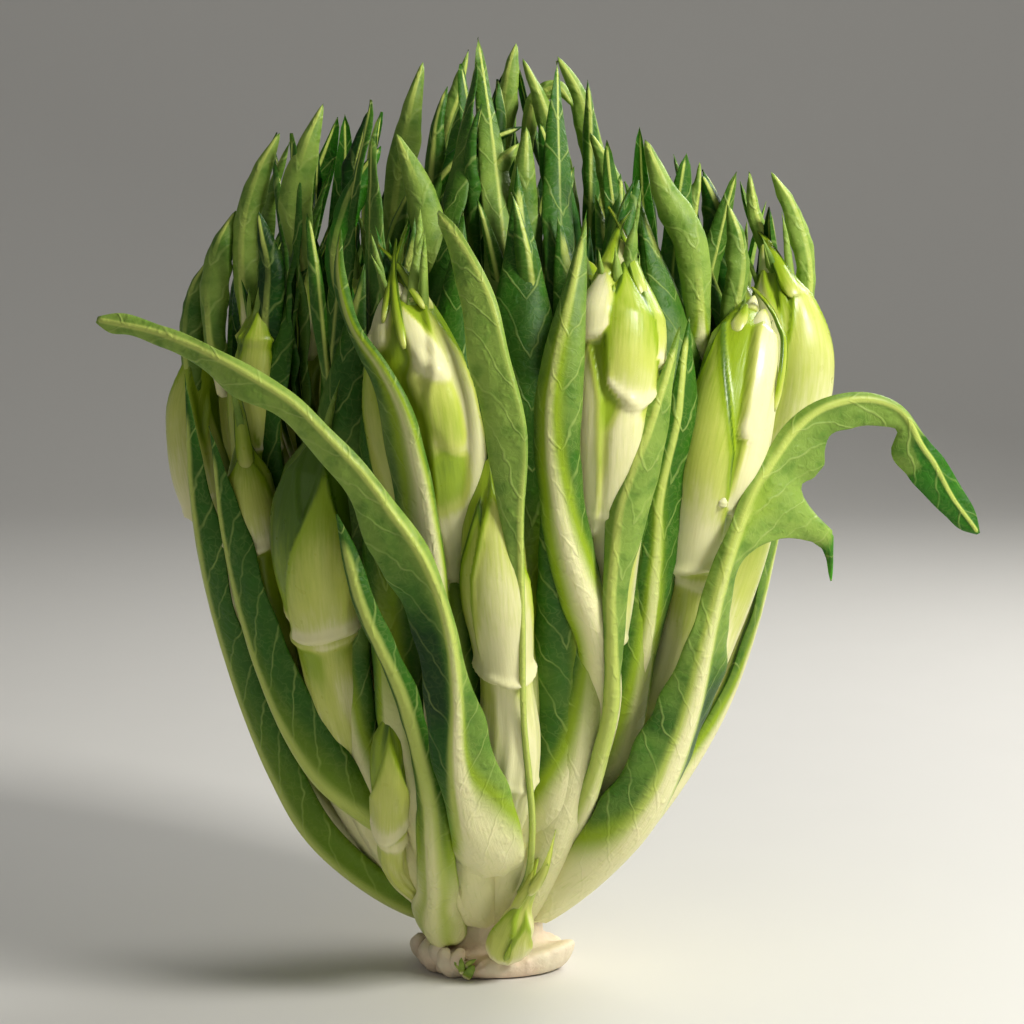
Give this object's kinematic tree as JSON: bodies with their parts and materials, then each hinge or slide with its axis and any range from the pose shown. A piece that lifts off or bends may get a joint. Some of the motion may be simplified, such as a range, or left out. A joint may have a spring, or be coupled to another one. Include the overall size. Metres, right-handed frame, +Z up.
{
  "type": "puntarelle",
  "caption": "Whole head of puntarelle, a Catalogna chicory, with swollen pale hollow shoots held in long narrow green leaves, standing on its cut crown.",
  "frame": {"origin": "the middle of the flat cut face at the foot of the crown", "axes": "+Z up along the head, -Y towards its best side, +X to the right seen from there"},
  "size_m": [0.264, 0.211, 0.297],
  "materials": {
    "crown": "pale cut stem flesh, cream with a pink tinge, slightly rough",
    "shoot": "waxy cream to yellow-green flesh with a soft gloss",
    "leaf": "green leaf with a pale rib and fine pale veins, satin"
  },
  "bodies": {
    "root": {"crown": "crown", "basal_sprout": "shoot", "shoot_far_left": "shoot", "shoot_left_tall": "shoot", "shoot_left": "shoot", "shoot_left_low": "shoot", "shoot_base_left": "shoot", "shoot_front_left": "shoot", "shoot_front_middle": "shoot", "shoot_front_low": "shoot", "shoot_front_right": "shoot", "shoot_right": "shoot", "shoot_far_right": "shoot", "shoot_back_1": "shoot", "shoot_back_2": "shoot", "shoot_back_3": "shoot", "shoot_back_4": "shoot", "shoot_back_5": "shoot", "shoot_back_6": "shoot", "shoot_inner_1": "shoot", "shoot_inner_2": "shoot", "shoot_inner_3": "shoot", "shoot_inner_4": "shoot", "shoot_heart": "shoot", "leaf_big_left": "leaf", "leaf_big_right": "leaf", "leaf_middle": "leaf", "leaf_curled": "leaf", "leaf_clasp_right": "leaf", "leaf_beside": "leaf", "leaf_clasp_left": "leaf", "leaf_between": "leaf", "leaf_side_outer": "leaf", "leaf_side_middle": "leaf", "leaf_side_inner": "leaf", "leaf_back_1": "leaf", "leaf_back_2": "leaf", "leaf_back_3": "leaf", "leaf_back_4": "leaf", "leaf_back_5": "leaf", "leaf_back_6": "leaf", "leaf_back_7": "leaf", "leaf_top_1": "leaf", "leaf_top_2": "leaf", "leaf_top_3": "leaf", "leaf_top_4": "leaf", "leaf_top_5": "leaf", "leaf_top_6": "leaf", "leaf_top_7": "leaf", "leaf_top_8": "leaf", "leaf_top_9": "leaf", "leaf_top_10": "leaf", "leaf_top_11": "leaf", "leaf_top_12": "leaf", "leaf_heart_1": "leaf", "leaf_heart_2": "leaf", "leaf_heart_3": "leaf", "leaf_heart_4": "leaf"}
  },
  "joints": []
}
